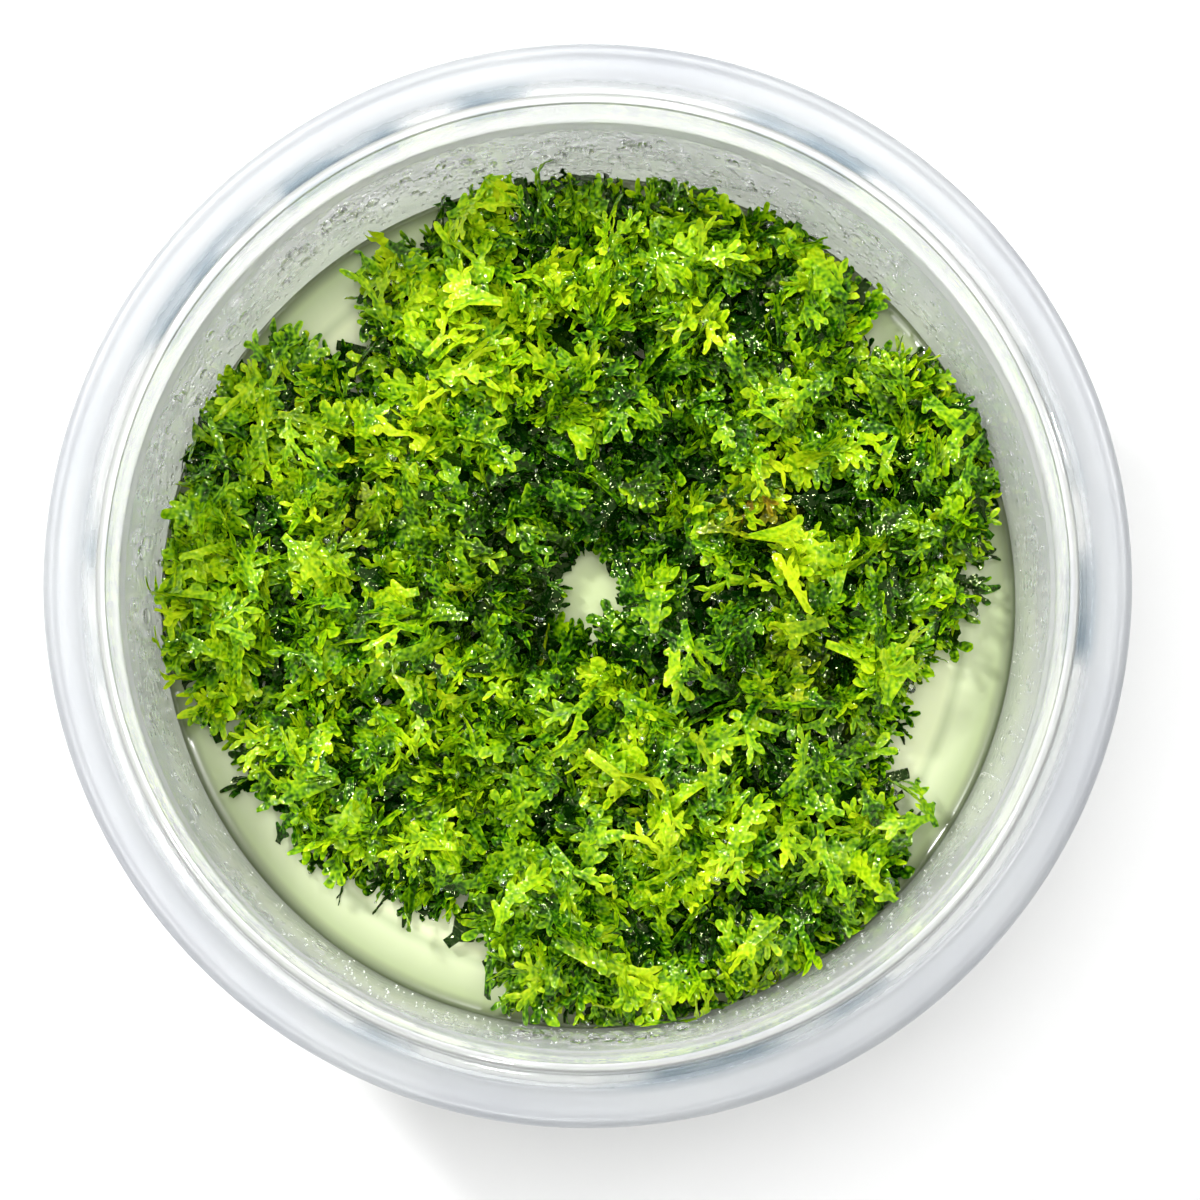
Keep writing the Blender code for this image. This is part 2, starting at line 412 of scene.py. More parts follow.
# %% Cup plastic
def cup_plastic():
    """Clear plastic, frosted on the flange, and misted on the inside of the wall above the gel."""
    paint = Paint("cup_plastic")
    paint.value("IOR", 1.49)
    paint.value("Transmission Weight", 0.72)
    radius, height = paint.radius_and_height()
    taper = (STEP_RADIUS - FLOOR_RADIUS) / (STEP_HEIGHT - FLOOR_THICKNESS)
    foot_radius = FLOOR_RADIUS - FLOOR_THICKNESS * taper
    inner_face = paint.sum("ADD", paint.sum("MULTIPLY", height, taper), foot_radius)
    inside = paint.span(paint.sum("SUBTRACT", radius, inner_face), WALL * 0.6, WALL * 0.3)
    mist = paint.sum("MULTIPLY", inside, paint.span(height, GEL_EDGE, GEL_EDGE + 4.0))
    mist = paint.sum("MULTIPLY", mist, paint.span(height, STEP_HEIGHT + 0.8, STEP_HEIGHT - 0.4))
    patchy = paint.sum("MULTIPLY", mist, paint.span(paint.noise(110.0), 0.35, 0.6))
    frosted = paint.span(radius, GROOVE[1] - 0.2, GROOVE[1] + 0.4)
    cloud = paint.noise(60.0)
    clear = paint.ramp(cloud, [(0.3, (0.97, 0.99, 0.98)), (0.7, (1.0, 1.0, 1.0))])
    frost = paint.ramp(cloud, [(0.3, (0.54, 0.56, 0.59)), (0.7, (0.64, 0.66, 0.67))])
    # painted light: the lower inside of the wall is tinted green for the light the moss throws on it
    painted_moss_light = paint.sum("MULTIPLY", inside, paint.span(height, GEL_EDGE + 11.0, GEL_EDGE))
    lower_wall = paint.mix(painted_moss_light, clear, (0.88, 0.96, 0.76))
    # blue-grey patches across the groove, broken up by noise
    groove_tint = paint.sum("MULTIPLY", paint.span(radius, 44.7, 45.4), paint.span(radius, 47.2, 46.0))
    groove_tint = paint.sum("MULTIPLY", groove_tint, paint.span(cloud, 0.48, 0.60))
    moulded = paint.mix(groove_tint, paint.mix(frosted, lower_wall, frost), (0.34, 0.42, 0.48))
    paint.wire(moulded, paint.surface.inputs["Base Color"])
    speck = paint.span(paint.noise(900.0, 1.0), 0.35, 0.65, 0.03, 0.10)
    rough = paint.sum("ADD", speck, paint.sum("MULTIPLY", patchy, 0.22))
    rough = paint.sum("ADD", rough, paint.sum("MULTIPLY", frosted, 0.3))
    paint.wire(rough, paint.surface.inputs["Roughness"])
    fine = paint.sum("MULTIPLY", paint.noise(1600.0, 0.0), mist)
    paint.skin(240.0, 0.16, 0.2, extra=paint.sum("MULTIPLY", fine, 2.2))
    return paint.material


cup = new_piece("cup_shell", spun(cup_outline(), 256), cup_plastic())
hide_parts("culture_cup")
print("cup faces", len(cup.data.polygons))

# %% [markdown]
# ## The gel
# The gel is set agar, pale cream and a little cloudy, wet on top, and it climbs the wall in a thin
# curved edge.


# %% Gel outline and material
GEL_TOP = GEL_EDGE - 0.6


def gel_outline():
    top_r = wall_radius(GEL_TOP)
    outline = [(0.0, GEL_TOP), (20.0, GEL_TOP), (top_r - 3.2, GEL_TOP)]
    outline += [(top_r - 1.9, GEL_TOP + 0.05), (top_r - 1.0, GEL_TOP + 0.18), (top_r - 0.45, GEL_TOP + 0.38)]
    outline += [(wall_radius(GEL_EDGE) - 0.06, GEL_EDGE)]
    corner_z = FLOOR_THICKNESS + CORNER
    outline += arc(wall_radius(corner_z) - CORNER, corner_z, CORNER - 0.06, 0, -90, 8)
    outline += [(20.0, FLOOR_THICKNESS + 0.06), (0.0, FLOOR_THICKNESS + 0.06)]
    return outline


def gel_agar():
    """Cream gel with a wet skin; towards the wall it greys and greens with painted shade and painted green
    light from the moss, and a dark band paints the edge of the cup's floor seen through the gel.
    """
    paint = Paint("gel_agar")
    paint.value("IOR", 1.34)
    paint.value("Subsurface Weight", 0.35)
    paint.value("Subsurface Scale", 0.004)
    paint.surface.inputs["Subsurface Radius"].default_value = (1.0, 1.0, 0.7)
    paint.value("Coat Weight", 0.5)
    paint.value("Coat Roughness", 0.05)
    paint.value("Roughness", 0.25)
    radius, height = paint.radius_and_height()
    # painted shade and painted view through the gel: a dark band where the cup floor's edge shows through,
    # grey-green towards the wall for shade and moss light, darkest against the wall
    painted_shade_rings = paint.ramp(
        paint.span(radius, 0.0, 41.6),
        [
            (0.0, (0.54, 0.63, 0.33)),
            (0.6, (0.68, 0.73, 0.46)),
            (0.865, (0.68, 0.73, 0.46)),
            (0.885, (0.46, 0.52, 0.31)),
            (0.905, (0.56, 0.62, 0.39)),
            (0.97, (0.36, 0.42, 0.23)),
            (1.0, (0.08, 0.10, 0.05)),
        ],
    )
    on_top = paint.span(height, GEL_TOP - 1.2, GEL_TOP - 0.1)
    side = paint.ramp(paint.noise(45.0, 2.0), [(0.35, (0.60, 0.65, 0.38)), (0.65, (0.68, 0.72, 0.45))])
    paint.wire(paint.mix(on_top, side, painted_shade_rings), paint.surface.inputs["Base Color"])
    paint.skin(120.0, 0.15, 0.3)
    return paint.material


gel = new_piece("gel_disc", spun(gel_outline(), 192), gel_agar())
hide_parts("nutrient_gel")

# %% [markdown]
# ## One frond
# A frond is a flat ribbon three points wide: left edge, midrib, right edge. Each step extrudes the
# ribbon's front row to a new place, heading and width. A fork splits the front row in two, and a side
# lobe starts from a side edge. Doubling the sheet and pushing the two midribs apart makes it a thin
# closed lens with sharp edges, which costs half of what a slab with a rim would.


# %% Growing a ribbon
def first_rows(bm, width, length):
    """The foot of a frond: two faces side by side. Returns the row of points that it grows on from."""
    made = bmesh.ops.create_grid(bm, x_segments=2, y_segments=1, size=0.5)["verts"]
    bmesh.ops.scale(bm, verts=made, vec=(width, length, 1.0))
    bmesh.ops.translate(bm, verts=made, vec=(0.0, length / 2, 0.0))
    return sorted((item for item in made if item.co.y > length / 2), key=lambda item: item.co.x)


def heading(angle):
    """The direction of growth at an angle from +Y, turning left when positive."""
    return Vector((-math.sin(angle), math.cos(angle), 0.0))


def advance(bm, row, centre, angle, width, nose=0.0):
    """Extrudes the front row to a new centre, heading and width; a nose pushes its middle forward."""
    front = [bm.edges.get(pair) for pair in zip(row, row[1:])]
    grown = bmesh.ops.extrude_edge_only(bm, edges=front)["geom"]
    new = [item for item in grown if isinstance(item, bmesh.types.BMVert)]
    new_row = [min(new, key=lambda item: (item.co - old.co).length) for old in row]
    ahead = heading(angle)
    across = Vector((ahead.y, -ahead.x, 0.0))
    for item, share in zip(new_row, (-0.5, 0.0, 0.5)):
        item.co = centre + across * share * width
    new_row[1].co += ahead * nose
    return new_row


def split_edge(bm, first, second):
    """A new point in the middle of an edge."""
    return bmesh.utils.edge_split(bm.edges.get((first, second)), first, 0.5)[1]


def lobe(bm, row, centre, angle, width, length, blunt=0.8):
    """A rounded end: a full row, then a narrower one with a short nose."""
    ahead = heading(angle)
    row = advance(bm, row, centre + ahead * length * 0.62, angle, width)
    advance(bm, row, centre + ahead * length * 0.93, angle, width * blunt * 0.75, nose=length * 0.07)


def side_lobes(bm, before, after, angle, level, rng):
    """A lobe from the middle of each side edge of one step of ribbon, with a notch on either side."""
    for side, low, high in ((1, before[0], after[0]), (-1, before[2], after[2])):
        if rng.random() > level["sides"]:
            continue
        base = [low.co.lerp(high.co, share) for share in (0.22, 0.5, 0.78)]
        row = []
        for place in base:
            row.append(split_edge(bm, row[-1] if row else low, high))
            row[-1].co = place
        turn = angle + side * rng.uniform(0.7, 1.1)
        size = level["lobe"] * rng.uniform(0.8, 1.2)
        lobe(bm, row if side > 0 else row[::-1], row[1].co.copy(), turn, size, size * rng.uniform(1.2, 1.8))


def branch(bm, row, centre, angle, width, plan, rng):
    """A stretch of ribbon by a plan of levels; the last level ends in lobes."""
    level = plan[0]
    step = level["length"] / level["steps"]
    for _ in range(level["steps"]):
        angle += rng.uniform(-0.16, 0.16)
        centre = centre + heading(angle) * step * rng.uniform(0.85, 1.15)
        width *= level["widen"]
        new_row = advance(bm, row, centre, angle, width)
        side_lobes(bm, row, new_row, angle, level, rng)
        row = new_row
    middles = [split_edge(bm, row[0], row[1]), split_edge(bm, row[1], row[2])]
    halves = ([row[0], middles[0], row[1]], [row[1], middles[1], row[2]])
    for side, half, middle in zip((1, -1), halves, middles):
        turn = angle + side * level["spread"] * rng.uniform(0.75, 1.25)
        share = rng.uniform(0.85, 1.15) * level["child"]
        if len(plan) > 1:
            branch(bm, half, middle.co.copy(), turn, width * share, plan[1:], rng)
        else:
            lobe(bm, half, middle.co.copy(), turn, width * share, level["tip"] * rng.uniform(0.8, 1.25))


def scallop(bm, pitch, size, rng):
    """Small rounded teeth along the open edges of the sheet, above its foot."""
    open_edges = [item for item in bm.edges if item.is_boundary]
    for edge in [item for item in open_edges if min(v.co.y for v in item.verts) > FOOT * 2]:
        start, end = edge.verts
        along = end.co - start.co
        if along.length < pitch * 0.45:
            continue
        outward = Vector((along.y, -along.x, 0.0)).normalized()
        if outward.dot(start.co - edge.link_faces[0].calc_center_median()) < 0:
            outward.negate()
        teeth = max(1, round(along.length / pitch))
        origin, previous = start.co.copy(), start
        for part in range(1, teeth * 2):
            remaining = bm.edges.get((previous, end))
            previous = bmesh.utils.edge_split(remaining, previous, 0.5)[1]
            push = size * rng.uniform(0.5, 1.4) if part % 2 else -size * 0.3
            previous.co = origin + along * part / (teeth * 2) + outward * push


def close_lens(bm, thickness, ruffle, rng):
    """Doubles the sheet, joins the two along their edges and parts their midribs."""
    bm.normal_update()
    turned = [face for face in bm.faces if face.normal.z < 0]
    bmesh.ops.reverse_faces(bm, faces=turned)
    rim = bm.verts.layers.float.new("rim")
    inner = [item for item in bm.verts if not item.is_boundary]
    for item in bm.verts:
        item[rim] = float(item.is_boundary)
        item.co.z = rng.normal(0.0, ruffle if item.is_boundary else ruffle * 0.5)
    copied = bmesh.ops.duplicate(bm, geom=bm.verts[:] + bm.edges[:] + bm.faces[:])
    lower = [copied["vert_map"][item] for item in inner]
    lower_faces = [item for item in copied["geom"] if isinstance(item, bmesh.types.BMFace)]
    bmesh.ops.reverse_faces(bm, faces=lower_faces)
    bmesh.ops.translate(bm, verts=inner, vec=(0.0, 0.0, thickness / 2))
    bmesh.ops.translate(bm, verts=lower, vec=(0.0, 0.0, -thickness / 2))
    bmesh.ops.remove_doubles(bm, verts=bm.verts, dist=0.0005)


# %% [markdown]
# A frond's habit is its plan: how long and wide each level is, how far its forks spread and how many side
# lobes it has. Five habits cover what grows here: antlers, fans, feathers and plain fingers.

# %% Habits, in millimetres and radians
ANTLER = [
    dict(length=2.2, steps=1, widen=1.0, sides=0.6, spread=0.5, lobe=0.55, child=0.68, tip=1.0),
    dict(length=1.9, steps=1, widen=1.05, sides=0.5, spread=0.46, lobe=0.5, child=0.72, tip=1.2),
]
FAN = [
    dict(length=1.9, steps=1, widen=1.5, sides=0.3, spread=0.42, lobe=0.6, child=0.6, tip=1.0),
    dict(length=1.4, steps=1, widen=1.25, sides=0.3, spread=0.36, lobe=0.55, child=0.62, tip=1.0),
]
STRAP = [
    dict(length=3.4, steps=2, widen=1.12, sides=0.5, spread=0.42, lobe=0.6, child=0.66, tip=1.2),
]
FEATHER = [
    dict(length=5.2, steps=3, widen=0.98, sides=0.97, spread=0.5, lobe=0.6, child=0.74, tip=1.1),
]
FINGER = [
    dict(length=4.2, steps=2, widen=1.02, sides=0.4, spread=0.45, lobe=0.55, child=0.76, tip=1.4),
]
HABITS = [  # plan, width at the foot, how many are grown, their share in a crown and in the fringe
    (ANTLER, 0.95, 6, 0.42, 0.36),
    (FAN, 1.15, 3, 0.10, 0.04),
    (STRAP, 1.2, 3, 0.18, 0.08),
    (FEATHER, 0.9, 3, 0.16, 0.30),
    (FINGER, 0.9, 2, 0.14, 0.22),
]
THICKNESS = 0.12
RUFFLE = 0.07
TOOTH_PITCH = 1.0
TOOTH_SIZE = 0.10
FOOT = 0.5


class Pattern:
    """One grown frond, kept as plain arrays so that it can be set out many times."""

    def __init__(self, plan, width, toothed, rng):
        bm = bmesh.new()
        row = first_rows(bm, width * 0.75, FOOT)
        branch(bm, row, Vector((0.0, FOOT, 0.0)), 0.0, width, plan, rng)
        if toothed:
            scallop(bm, TOOTH_PITCH, TOOTH_SIZE, rng)
        close_lens(bm, THICKNESS, RUFFLE, rng)
        bm.verts.index_update()
        rim = bm.verts.layers.float["rim"]
        self.points = np.array([item.co for item in bm.verts])
        self.rim = np.array([item[rim] for item in bm.verts])
        self.corners = np.array([item.index for face in bm.faces for item in face.verts])
        self.sizes = np.array([len(face.verts) for face in bm.faces])
        self.length = float(self.points[:, 1].max())
        self.tip = int(self.points[:, 1].argmax())
        self.triangles = int((self.sizes - 2).sum())
        bm.free()


rng = np.random.default_rng(SEED)
patterns, crown_share, fringe_share = [], [], []
for plan, width, count, in_crown, in_fringe in HABITS:
    for _ in range(count):
        patterns.append(Pattern(plan, width, True, rng))
        crown_share.append(in_crown / count)
        fringe_share.append(in_fringe / count)
plain = [Pattern(plan, 1.2, False, rng) for plan in (ANTLER, ANTLER, STRAP, FEATHER, FINGER)]
print("triangles a frond:", [pattern.triangles for pattern in patterns], [p.triangles for p in plain])

# %% [markdown]
# ## Where the moss grows
# Each tuft's plain solid in the frame says where that tuft stands. A fine map of the gel is asked, from
# straight above, which tuft covers each spot. Narrow gaps between tufts close, because their fronds cross,
# and the distance to the nearest bare spot says how high the cushion stands there.

# %% Map of the tufts
TUFTS = sorted(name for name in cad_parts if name.startswith("tuft_"))
CELL = 0.75
CLOSES = 1.2  # fronds bridge gaps up to twice this
CLOSES_MIDDLE = 3.6  # and wider ones where all the tufts lean together in the middle of the cup
MIDDLE = 20.0


def tuft_trees():
    trees = {}
    for name in TUFTS:
        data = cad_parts[name].data
        data.calc_loop_triangles()
        corners = [vertex.co / MM for vertex in data.vertices]
        trees[name] = BVHTree.FromPolygons(corners, [tuple(t.vertices) for t in data.loop_triangles])
    return trees


def nearest(points, targets):
    """Distance from each point to the nearest target, and that target's number."""
    best = np.full(len(points), 1e9)
    which = np.zeros(len(points), int)
    for start in range(0, len(targets), 400):
        block = targets[start : start + 400]
        gaps = np.hypot(points[:, None, 0] - block[None, :, 0], points[:, None, 1] - block[None, :, 1])
        closer = gaps.min(axis=1) < best
        which[closer] = start + gaps.argmin(axis=1)[closer]
        best = np.minimum(best, gaps.min(axis=1))
    return best, which


trees = tuft_trees()
axis_cells = np.arange(-44.0, 44.01, CELL)
cells = np.array([(x, y) for x in axis_cells for y in axis_cells])
owner = np.full(len(cells), -1)
for number, name in enumerate(TUFTS):
    for index, (x, y) in enumerate(cells):
        if owner[index] < 0 and trees[name].ray_cast((x, y, 60.0), (0, 0, -1))[0] is not None:
            owner[index] = number
grown = cells[owner >= 0]
grown_owner = owner[owner >= 0]
gap_to_moss, _ = nearest(cells, grown)
closes = np.where(np.hypot(cells[:, 0], cells[:, 1]) < MIDDLE, CLOSES_MIDDLE, CLOSES)
covered, bare = cells[gap_to_moss <= closes], cells[gap_to_moss > closes]
print("moss cells", len(grown), "bare cells", len(bare))


def depth_inside(points):
    """How far each spot is from bare gel, in millimetres; negative outside."""
    inside, _ = nearest(points, bare)
    outside, _ = nearest(points, covered)
    return np.where(outside > CELL * 0.75, -outside, inside) - CLOSES


def outward_at(points, reach=4.5):
    """From the middle of the moss near each spot towards the spot: long at an edge, short inside."""
    result = np.zeros_like(points)
    for index, spot in enumerate(points):
        near = covered[np.hypot(*(covered - spot).T) < reach]
        result[index] = spot - near.mean(axis=0)
    return result / np.maximum(np.hypot(*result.T), 0.8)[:, None]


def owner_of(points):
    return grown_owner[nearest(points, grown)[1]]


# %% [markdown]
# ## Crowns
# A clump is made of rosettes. Each crown is a small dome of fronds that lean away from its middle, upright
# at the top and lying out at the sides, so dark clefts stay between crowns. Crowns are thrown at random
# and kept when they aren't too close to each other.

# %% Crown places
CROWN_SPACING = 5.0
CROWN_MARGIN = 1.6
FULL_HEIGHT_AT = 8.0  # from the edge, where the cushion has its full height


def spread_spots(rng, spacing, shallow, deep, tries):
    """Random spots between two depths in the moss, no closer to each other than the spacing."""
    spots = rng.uniform(-42.0, 42.0, (tries, 2))
    depth = depth_inside(spots)
    kept = {}
    for spot in spots[(depth > shallow) & (depth < deep)]:
        column, row = (int(value // spacing) for value in spot)
        near = (kept.get((column + i, row + j), ()) for i in (-1, 0, 1) for j in (-1, 0, 1))
        if all(math.dist(spot, other) > spacing for group in near for other in group):
            kept.setdefault((column, row), []).append(spot)
    return np.array([spot for group in kept.values() for spot in group])


def cushion_height(spots):
    """Height of the fronds' tips over the gel at each spot, low at the edge and full inside."""
    share = np.clip(depth_inside(spots) / FULL_HEIGHT_AT, 0.0, 1.0)
    return tuft_height[owner_of(spots)] * (0.42 + 0.52 * np.sqrt(share))


tuft_height = np.array([(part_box(name)[1].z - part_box(name)[0].z) / MM for name in TUFTS])
crowns = spread_spots(rng, CROWN_SPACING, CROWN_MARGIN, 99.0, 6000)
crown_height = cushion_height(crowns) * rng.uniform(0.84, 1.06, len(crowns))
crown_depth = depth_inside(crowns)
crown_outward = outward_at(crowns)
print("crowns", len(crowns))

# %% [markdown]
# ## Setting out the fronds
# A frond's tip goes to a place on its crown's dome or a little below it, and near the edge the fronds lean
# out over the gel. A fringe of longer fronds lies along every edge. Each copy is bent, cupped, rippled and
# twisted by its own random amounts before it is turned into place, so no two look alike, and it is pushed
# off the gel and the cup's wall.

# %% [markdown]
# The clump isn't one green. Lime growth stands out on some crowns, above all on the far side of the cup.
# The heart of the cup is dark and wet, and a few spots have browned. Each patch fades out from its middle.

# %% Colour patches: x, y, radius and strength
LIME = [(-10, 27, 9, 0.75), (-35, 2, 5, 0.4), (18, 27, 5, 0.5), (10, 18, 5, 0.6), (2, -10, 4, 0.9)]
LIME += [(19, 4, 5, 0.7), (-17, -11, 5, 0.35), (13, -29, 5, 0.45)]
BROWN = [(16, 7, 3, 0.9), (-23, 10, 4, 0.6), (-11, 2, 4, 0.5), (21, -7, 4, 0.4)]
DARK = [(-8, 8, 8, 0.8), (-6, -3, 7, 0.7), (9, 17, 4, 0.4), (11, -5, 6, 0.7)]


def patch(patches, x, y):
    """How strongly a kind of patch shows at a spot, from 0 to 1."""
    total = 0.0
    for px, py, radius, strength in patches:
        total += strength * math.exp(-((x - px) ** 2 + (y - py) ** 2) / radius**2)
    return min(total, 1.0)


# %% One frond in place
DOME_RADIUS = CROWN_SPACING * 0.85
OVERHANG = 0.6  # how far a crown's tips may stand out over bare gel
WALL_CLEAR = 0.3
GEL_CLEAR = 0.05


def bent(points, rng, bend):
    """A copy of the flat frond, curved along its length, cupped, rippled and twisted."""
    x, y, z = points[:, 0].copy(), points[:, 1].copy(), points[:, 2].copy()
    cup = rng.normal(0.06, 0.10)
    ripple = rng.normal(0.0, 0.14)
    phase = rng.uniform(0, math.tau)
    z = z + cup * x * x + ripple * np.sin(y * 1.9 + phase) * x
    twist = rng.normal(0.0, 0.10) * y
    x, z = x * np.cos(twist) - z * np.sin(twist), x * np.sin(twist) + z * np.cos(twist)
    angle = bend * y + 1e-6
    along = np.sin(angle) / (bend + 1e-6)
    lift = (1.0 - np.cos(angle)) / (bend + 1e-6)
    return np.stack([x, along - z * np.sin(angle), lift + z * np.cos(angle)], axis=1)


def axes_for(direction, roll):
    """A frond's across, along and face axes: growth along direction, face up before the roll."""
    side = np.cross(direction, (0.0, 0.0, 1.0))
    if np.linalg.norm(side) < 1e-3:
        side = np.array([1.0, 0.0, 0.0])
    side /= np.linalg.norm(side)
    face = np.cross(side, direction)
    across = side * math.cos(roll) + face * math.sin(roll)
    return np.stack([across, direction, np.cross(across, direction)])


def aimed(azimuth, pitch):
    """A unit vector at an azimuth, leaning from straight up by the pitch."""
    flat = math.sin(pitch)
    return np.array([math.cos(azimuth) * flat, math.sin(azimuth) * flat, math.cos(pitch)])


def pressed(values, limit, soft, fade):
    """Values kept above a limit: those that come near it or pass it crowd into a thin soft layer."""
    low = values < limit + soft
    crowded = limit + soft * np.exp((values - limit - soft) / fade)
    return np.where(low, crowded, values)


def kept_clear(points):
    """Pushes points off the gel and in from the cup's wall."""
    points[:, 2] = pressed(points[:, 2], GEL_TOP + GEL_CLEAR, 0.3, 1.5)
    radius = np.hypot(points[:, 0], points[:, 1])
    room = wall_radius(points[:, 2]) - radius
    allowed = radius + room - pressed(room, WALL_CLEAR, 0.3, 1.5)
    points[:, :2] *= (allowed / np.maximum(radius, 0.1))[:, None]
    return points


def set_out(pattern, tip, direction, size, bend, roll):
    """One frond with its tip at a place and growing in a direction, its points in millimetres."""
    placed = bent(pattern.points * size, rng, bend) @ axes_for(direction, roll)
    return kept_clear(placed + tip - placed[pattern.tip])


def shade_for(x, y, lift):
    """Tint and age of a frond whose tip is at a spot; lift is 1 in a crown's top, and lower fronds get
    painted shade.
    """
    lime, brown, dark = (patch(patches, x, y) for patches in (LIME, BROWN, DARK))
    # painted shade: fronds low in a crown are darker, those at its top lighter
    tint = 0.40 + rng.normal(0.0, 0.12) + 0.6 * (lift - 0.85) + 0.26 * lime - 0.46 * dark
    if rng.random() < 0.05 + 0.2 * lime:
        tint += 0.18
    age = max(0.0, brown * rng.uniform(0.2, 1.0) + rng.normal(0.0, 0.07))
    return min(max(tint, 0.0), 1.0), min(age, 1.0)


# %% Fill every crown
FRONDS_PER_CROWN = 30
LEVELS = [(1.0, 0.60), (0.8, 0.26), (0.6, 0.14)]

tuft_parts = {name: [] for name in TUFTS}
for crown, height, depth, outward, number in zip(
    crowns, crown_height, crown_depth, crown_outward, owner_of(crowns)
):
    tone = rng.normal(0.0, 0.09)
    picks = rng.choice(len(patterns), FRONDS_PER_CROWN, p=crown_share)
    levels = rng.choice([level for level, _ in LEVELS], FRONDS_PER_CROWN, p=[part for _, part in LEVELS])
    lean_out = 0.9 * math.exp(-depth / 4.0)
    for pick, level in zip(picks, levels * rng.uniform(0.94, 1.06, FRONDS_PER_CROWN)):
        lean = math.acos(1.0 - rng.random() * 0.97)
        around = rng.uniform(0, math.tau)
        flat = np.array([math.cos(around), math.sin(around)]) * math.sin(lean) + outward * lean_out
        spot = crown + flat * DOME_RADIUS * level
        if depth_inside(spot[None])[0] < -OVERHANG:
            continue
        tip_z = GEL_TOP + height * level * (0.42 + 0.58 * math.cos(lean))
        pitch = min(max(0.28 + lean * 0.72 + rng.normal(0.0, 0.32), 0.05), 1.6)
        azimuth = math.atan2(flat[1], flat[0]) + rng.normal(0.0, 0.55)
        pattern = patterns[pick] if level > 0.7 else plain[pick % len(plain)]
        points = set_out(
            pattern, np.array([*spot, tip_z]), aimed(azimuth, pitch), rng.uniform(0.8, 1.32),
            rng.uniform(-0.20, 0.04), rng.normal(0.0, 0.75),
        )
        tint, age = shade_for(spot[0], spot[1], level)
        tuft_parts[TUFTS[number]].append((pattern, points, min(max(tint + tone, 0.0), 1.0), age, height))

# %% [markdown]
# Under the crowns a bed of old fronds lies on the gel, so that none of it shows between the crowns; their
# dark tint is painted shade deep in the cushion.

# %% Lay the bed
BED_SPACING = 1.35
BED_HEIGHT = (0.12, 0.5)
BED_INSIDE = 1.3  # mm from the edge, so that no dark frond lies out on the gel

bed = spread_spots(rng, BED_SPACING, BED_INSIDE, 99.0, 20000)
for spot, height, outward, number in zip(bed, cushion_height(bed), outward_at(bed), owner_of(bed)):
    tip = np.array([*spot, GEL_TOP + height * rng.uniform(*BED_HEIGHT)])
    direction = aimed(math.atan2(outward[1], outward[0]) + rng.normal(0.0, 0.5), rng.uniform(1.1, 1.5))
    pattern = plain[rng.integers(len(plain))]
    size, bend, roll = rng.uniform(0.8, 1.2), rng.uniform(-0.1, 0.1), rng.normal(0.0, 0.3)
    points = set_out(pattern, tip, direction, size, bend, roll)
    # painted shade: the bed's fronds get a dark tint
    tuft_parts[TUFTS[number]].append((pattern, points, rng.uniform(0.05, 0.35), 0.0, height))
print("bed fronds", len(bed))

# %% Lay the fringe
MOST_TRIANGLES = 190000  # in one tuft
FRINGE_SPACING = 0.7
FRINGE_REACH = 3.2  # how far the tips stand out over bare gel
FRINGE_SHADE = 0.8  # mm; how softly the painted shade darkens a fringe frond towards its foot
CLUMP = 3.5  # the fringe reaches out in clumps about this far apart

fringe = spread_spots(rng, FRINGE_SPACING, -FRINGE_REACH, 0.6, 24000)
clumps = spread_spots(rng, CLUMP, -1.0, 1.0, 2000)
from_clump, _ = nearest(fringe, clumps)
fringe = fringe[from_clump < 3.4 - 2.2 * rng.random(len(fringe))]
picks = rng.choice(len(patterns), len(fringe), p=fringe_share)
for spot, outward, height, number, pick in zip(
    fringe, outward_at(fringe), cushion_height(fringe), owner_of(fringe), picks
):
    tip_z = GEL_TOP + height * rng.uniform(0.15, 0.95)
    azimuth = math.atan2(outward[1], outward[0]) + rng.normal(0.0, 0.4)
    pitch = min(rng.normal(1.35, 0.16), 1.62)
    points = set_out(
        patterns[pick], np.array([*spot, tip_z]), aimed(azimuth, pitch), rng.uniform(0.8, 1.25),
        rng.uniform(-0.10, 0.10), rng.normal(0.0, 0.4),
    )
    tint, age = shade_for(spot[0], spot[1], 0.9)
    tuft_parts[TUFTS[number]].append((patterns[pick], points, tint, age, tip_z - GEL_TOP + FRINGE_SHADE))
print("fringe fronds", len(fringe))

# %% Set the longest fronds at the edge
LONG_REACH = (1.2, 3.6)

picks = rng.choice(len(patterns), len(clumps), p=fringe_share)
for clump, outward, height, number, pick in zip(
    clumps, outward_at(clumps), cushion_height(clumps), owner_of(clumps), picks
):
    ahead = outward / max(math.hypot(*outward), 0.01)
    tip = np.array([*(clump + ahead * rng.uniform(*LONG_REACH)), GEL_TOP + height * rng.uniform(0.3, 0.9)])
    direction = aimed(math.atan2(ahead[1], ahead[0]) + rng.normal(0.0, 0.25), rng.uniform(1.2, 1.55))
    size, bend = rng.uniform(1.15, 1.5), rng.uniform(-0.06, 0.1)
    points = set_out(patterns[pick], tip, direction, size, bend, rng.normal(0.0, 0.3))
    tint, age = shade_for(tip[0], tip[1], 0.95)
    tuft_parts[TUFTS[number]].append((patterns[pick], points, tint, age, tip[2] - GEL_TOP + FRINGE_SHADE))
print("long fronds", len(clumps))

for name, parts in tuft_parts.items():
    total = sum(part[0].triangles for part in parts)
    keep = rng.random(len(parts)) < MOST_TRIANGLES / total
    tuft_parts[name] = [part for part, kept in zip(parts, keep) if kept]
    print(name, int(keep.sum()), "of", len(parts), "fronds;", total, "triangles before thinning")
